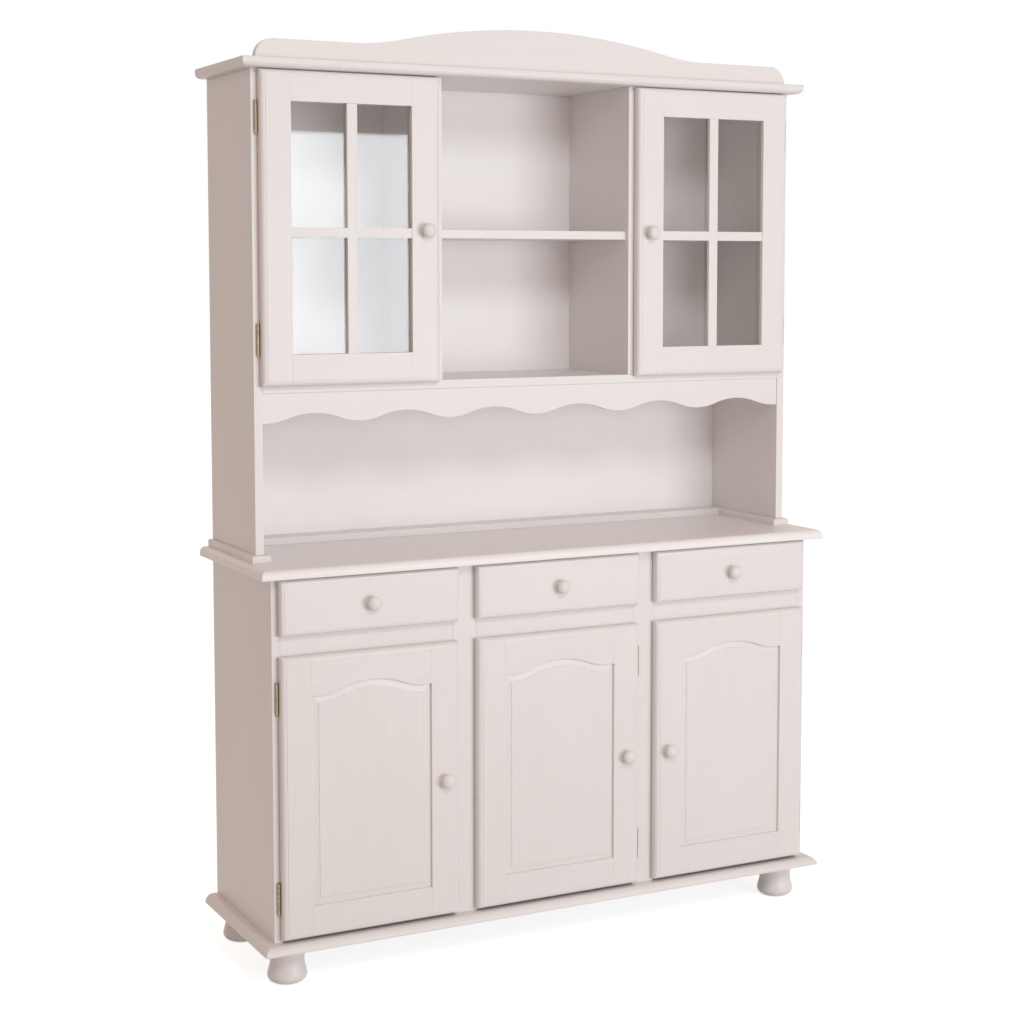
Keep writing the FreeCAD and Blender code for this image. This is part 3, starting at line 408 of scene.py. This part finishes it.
def sewn(node, name):
    """A copy of a CAD node whose loose triangles are sewn into its separate boards."""
    mesh = frame["nodes"][node].data
    corner = {}
    triangles = [[corner.setdefault(tuple(round(value, 5) for value in mesh.vertices[i].co), len(corner))
                  for i in face.vertices] for face in mesh.polygons]
    triangles = [three for three in triangles if len(set(three)) == 3]
    sharing = defaultdict(list)
    for number, (a, b, c) in enumerate(triangles):
        for edge in ((a, b), (b, c), (c, a)):
            sharing[frozenset(edge)].append(number)
    leader = list(range(len(triangles)))

    def lead(number):
        while leader[number] != number:
            leader[number] = leader[leader[number]]
            number = leader[number]
        return number

    for pair in sharing.values():
        for one, other in zip(pair[::2], pair[1::2]):
            leader[lead(one)] = lead(other)
    boards = defaultdict(list)
    for number, three in enumerate(triangles):
        boards[lead(number)].append(three)
    points, faces, numbers = [], [], []
    places = list(corner)
    for number, (_, board) in enumerate(sorted(boards.items())):
        known = {}
        for three in board:
            face = []
            for i in three:
                if i not in known:
                    known[i] = len(points)
                    points.append(places[i])
                    numbers.append(number)
                face.append(known[i])
            faces.append(face)
    copy = bpy.data.meshes.new(name)
    copy.from_pydata(points, [], faces)
    copy.attributes.new("board", "FLOAT", "POINT").data.foreach_set("value", numbers)
    piece = bpy.data.objects.new(name, copy)
    bpy.context.scene.collection.objects.link(piece)
    only(piece)
    bpy.ops.object.mode_set(mode="EDIT")
    bpy.ops.mesh.select_all(action="SELECT")
    bpy.ops.mesh.dissolve_limited(angle_limit=math.radians(0.3))
    bpy.ops.object.mode_set(mode="OBJECT")
    return piece


def board(node, finish, edge=0.0008):
    """A sanded copy of a CAD node's boards, standing for it."""
    piece = sewn(node, node + "_sanded")
    ease(piece, edge)
    grain(piece)
    fit(piece, finish, slot_of[node], home[node], node)


for node in ("base_side_left", "base_side_right", "base_divider_left", "base_divider_right",
             "base_mullion_left", "base_mullion_right", "drawer_rails", "base_shelves",
             "hutch_foot_left", "hutch_foot_right", "hutch_foot_back",
             "hutch_side_left", "hutch_side_right", "hutch_divider_left", "hutch_divider_right",
             "hutch_floor", "hutch_shelves", "valance", "pediment"):
    board(node, paint)


# The backs of base and hutch are thin sheets of hardboard, painted matt. They are let into rebates
# of the sides and pinned there.
def matt_painted(name, tone, dark_tone):
    """Matt paint on a smooth sheet: a fine roller stipple and faint clouds."""
    material, shader = new_finish(name)
    place = shader.add("ShaderNodeTexCoord", out="Object")
    stipple = shader.add("ShaderNodeTexNoise", {}, {"Vector": place, "Scale": 420.0, "Detail": 2.0})
    clouds = shader.add("ShaderNodeTexNoise", {}, {"Vector": place, "Scale": 5.0, "Detail": 3.0})
    shade = shader.band(clouds * 0.8 + stipple * 0.2, 0.35, 0.65)
    solid_surface(shader,
                  colour=shader.blend(shade, dark_tone, tone),
                  roughness=0.52 + stipple * 0.1,
                  height=stipple,
                  relief=0.00006)
    return material


# The sheets' matt white is partly their own colour and partly painted light: set whiter than the front
# paint to lift the shaded bays.
bay_lightening_sheet_paint = matt_painted("back_board", (0.94, 0.905, 0.90, 1), (0.92, 0.885, 0.88, 1))
for node in ("base_back", "hutch_back"):
    board(node, bay_lightening_sheet_paint, edge=0.0003)


# Three drawers. Their fronts are solid painted boards with moulded edges, screwed to boxes of bare
# pine with grooved-in bottoms, and the strips that the boxes run on are bare pine too.
honey, dark_honey, late_wood = (0.74, 0.55, 0.32, 1), (0.60, 0.40, 0.20, 1), (0.46, 0.24, 0.09, 1)


def bare_pine(name):
    """Planed pine without paint: honey coloured with darker late wood lines."""
    material, shader = new_finish(name)
    wood = shader.add("ShaderNodeAttribute", {"attribute_name": "wood"}, {}, "Vector")
    phase = drawn_noise(shader, wood, 14, 0.8, 1.5) * 80.0
    rings = phase.reckon("SINE", phase)
    late = shader.band(rings, 0.1, 0.95)
    fibres = drawn_noise(shader, wood, 800, 14, 2.0)
    early = shader.blend(fibres, dark_honey, honey)
    solid_surface(shader,
                  colour=shader.blend(late * 0.6, early, late_wood),
                  roughness=0.62 - late * 0.12,
                  height=fibres + rings * 0.3,
                  relief=0.00005)
    return material


pine = bare_pine("bare_pine")
board("drawer_bearers", pine, edge=0.0006)
for side in ("left", "middle", "right"):
    board(f"drawer_{side}_front", paint, edge=0.0004)
    board(f"drawer_{side}_box", pine, edge=0.0005)


# Eight turned knobs of painted wood, one on every drawer and door. Each stands on a narrow neck
# and is held by a screw from behind.
knob_profile = [(0, 0.0075), (0.0003, 0.0080), (0.0015, 0.0073), (0.0040, 0.0065), (0.0062, 0.0067),
                (0.0080, 0.0078), (0.0092, 0.0098), (0.0100, 0.0119), (0.0108, 0.0134),
                (0.0120, 0.0145), (0.0136, 0.0150), (0.0154, 0.0150), (0.0172, 0.0146),
                (0.0190, 0.0138), (0.0207, 0.0124), (0.0222, 0.0105), (0.0234, 0.0081),
                (0.0242, 0.0055), (0.0248, 0.0028), (0.0250, 0.0010)]
knob_length = 0.025
knob_paint = painted("knob_paint", (0.825, 0.79, 0.775, 1), (0.80, 0.763, 0.745, 1), relief=0.00002)
knob_pattern = turned("knob_pattern", knob_profile, 48, forward=True)
for node in sorted(home):
    if node.endswith("_knob"):
        low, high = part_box(node)
        middle = (low + high) / 2
        knob = copied(knob_pattern, node + "_turned", (middle.x, low.y + knob_length, middle.z))
        grain(knob, along_y)
        fit(knob, knob_paint, "knob_wood", home[node], node)
bpy.data.objects.remove(knob_pattern)


# Three base doors: mortised pine frames with an arched top rail, moulded at their edges. A raised
# panel floats in a groove of each frame.
for side in ("left", "middle", "right"):
    board(f"base_door_{side}_frame", paint, edge=0.0004)
    board(f"base_door_{side}_panel", paint, edge=0.0005)


# Two hutch doors: mortised pine frames with upright and level glazing bars. A clear pane lies
# behind the bars, held by beads.
def clear_glass(name):
    """Clear float glass: seen through, with a mirror sheen that grows towards the edges of sight."""
    material, shader = new_finish(name)
    place = shader.add("ShaderNodeTexCoord", out="Object")
    smear = shader.add("ShaderNodeTexNoise", {}, {"Vector": place, "Scale": 9.0, "Detail": 4.0})
    facing = shader.add("ShaderNodeLayerWeight", {}, {"Blend": 0.5}, "Facing")
    mirrored = 0.045 + 0.955 * facing ** 5.0
    clear = shader.add("ShaderNodeBsdfTransparent", {}, {"Color": (0.985, 0.973, 0.963, 1)})
    gloss = shader.add("ShaderNodeBsdfGlossy", {}, {"Color": white, "Roughness": 0.015 + smear * 0.02})
    shader.show(shader.add("ShaderNodeMixShader", {}, {0: mirrored, 1: clear, 2: gloss}))
    return material


glass = clear_glass("clear_glass")
for side in ("left", "right"):
    board(f"hutch_door_{side}_frame", paint, edge=0.0004)
    board(f"hutch_door_{side}_glass", glass, edge=0.0003)


# Ten butt hinges of brassed steel: one leaf wraps the carcass edge, the other lies on the door's
# back, and a pin runs through their knuckles.
def brassed(name, tone, dull_tone):
    """Brassed steel gone dull: warm metal with darker spots and fine rolling marks."""
    material, shader = new_finish(name)
    place = shader.add("ShaderNodeTexCoord", out="Object")
    spots = shader.add("ShaderNodeTexNoise", {}, {"Vector": place, "Scale": 190.0, "Detail": 4.0})
    marks = drawn_noise(shader, place, 1500, 60, 2.0)
    dull = shader.band(spots, 0.42, 0.68)
    solid_surface(shader,
                  colour=shader.blend(dull, tone, dull_tone),
                  roughness=0.34 + dull * 0.16 + marks * 0.08,
                  height=marks,
                  relief=0.00001, Metallic=1.0)
    return material


brass = brassed("brass", (0.37, 0.305, 0.195, 1), (0.25, 0.20, 0.12, 1))
for node in sorted(home):
    if "hinge" in node:
        board(node, brass, edge=0.0002)


# Slotted screws hold the leaves, three in each, and a round-headed one holds each knob from inside.
# Small brassed pins hold the two back sheets in their rebates.
slot_width, slot_depth = 0.0009, 0.0004
oval_profile = [(-0.0004, 0.0030), (0, 0.0034), (0.0002, 0.0032), (0.0004, 0.0024), (0.0005, 0.0010)]
round_profile = [(0, 0.0042), (0.0006, 0.0042), (0.0015, 0.0034), (0.0021, 0.0020), (0.0022, 0.0006)]
pin_profile = [(-0.0005, 0.0010), (0, 0.0013), (0.0002, 0.0012), (0.0003, 0.0005)]
carcass_front = {"base": -0.156, "hutch": -0.070}
hinge_middles = {"base": (0.1855, 0.588), "hutch": (1.292, 1.730)}
hinge_pins = (("base", "left", -0.626, 1), ("base", "middle", 0.197, -1), ("base", "right", 0.626, -1),
              ("hutch", "left", -0.626, 1), ("hutch", "right", 0.626, -1))
leaf_screw_places = ((-0.022, 0.022), (0, 0.026), (0.022, 0.022))
door_leaf_face, carcass_leaf_face, carcass_leaf_middle = 0.0016, 0.0104, 0.009
door_back, box_front = 0.003, 0.012
pin_margin, pins_across, pins_up = 0.006, 10, 7
backward = (0, 1, 0)


def head_pattern(profile, slotted=True):
    """One head facing up, with or without a slot sawn across it."""
    head = turned("head_pattern", profile, 12)
    if slotted:
        bpy.ops.mesh.primitive_cube_add(size=1, location=(0, 0, profile[-1][0]))
        saw = bpy.context.object
        saw.scale = (slot_width, 0.02, 2 * slot_depth)
        sawn = head.modifiers.new("sawn", "BOOLEAN")
        sawn.object = saw
        only(head)
        bpy.ops.object.modifier_apply(modifier="sawn")
        bpy.data.objects.remove(saw)
    return head


def driven(name, body, pattern, places):
    """Heads like the pattern at these places, each facing its own way, joined into one piece."""
    heads = []
    for number, (place, facing) in enumerate(places):
        aim = Vector(facing).to_track_quat("Z", "Y").to_matrix().to_4x4()
        twist = Matrix.Rotation(random.Random(f"{name} {number}").uniform(0, math.pi), 4, "Z")
        head = copied(pattern, f"{name}_{number}", (0, 0, 0))
        head.data.transform(Matrix.Translation(place) @ aim @ twist)
        heads.append(head)
    only(*heads)
    bpy.ops.object.join()
    piece = bpy.context.object
    piece.name = name
    fit(piece, screw_brass, "brass", body)


screw_brass = brassed("screw_brass", (0.66, 0.56, 0.38, 1), (0.50, 0.41, 0.26, 1))
oval_head = head_pattern(oval_profile)
round_head = head_pattern(round_profile)
pin_head = head_pattern(pin_profile, slotted=False)
carcass_screws = []
for part, side, pin_x, way in hinge_pins:
    door = f"{part}_door_{side}"
    front = carcass_front[part]
    leaf_screws = []
    for middle in hinge_middles[part]:
        for rise, out in leaf_screw_places:
            leaf_screws.append(((pin_x + way * out, front - door_leaf_face, middle + rise), backward))
            wrapped = (pin_x + way * carcass_leaf_face, front + carcass_leaf_middle, middle + rise)
            carcass_screws.append((wrapped, (way, 0, 0)))
    driven(f"{door}_hinge_screws", door, oval_head, leaf_screws)
    low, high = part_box(f"{door}_knob")
    behind_knob = ((low.x + high.x) / 2, front - door_back, (low.z + high.z) / 2)
    driven(f"{door}_knob_screw", door, round_head, [(behind_knob, backward)])
driven("hinge_screws_fixed", "carcass", oval_head, carcass_screws)
for side in ("left", "middle", "right"):
    low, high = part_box(f"drawer_{side}_knob")
    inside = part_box(f"drawer_{side}_box")[0].y + box_front
    behind_knob = ((low.x + high.x) / 2, inside, (low.z + high.z) / 2)
    driven(f"drawer_{side}_knob_screw", f"drawer_{side}", round_head, [(behind_knob, backward)])
for node in ("base_back", "hutch_back"):
    low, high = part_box(node)
    width, height = high.x - low.x - 2 * pin_margin, high.z - low.z - 2 * pin_margin
    across = [low.x + pin_margin + width * step / pins_across for step in range(pins_across + 1)]
    upward = [low.z + pin_margin + height * step / pins_up for step in range(pins_up + 1)]
    rim = [(x, z) for x in across for z in (upward[0], upward[-1])]
    rim += [(x, z) for x in (across[0], across[-1]) for z in upward[1:-1]]
    driven(f"{node}_pins", "carcass", pin_head, [((x, high.y, z), backward) for x, z in rim])
for pattern in (oval_head, round_head, pin_head):
    bpy.data.objects.remove(pattern)
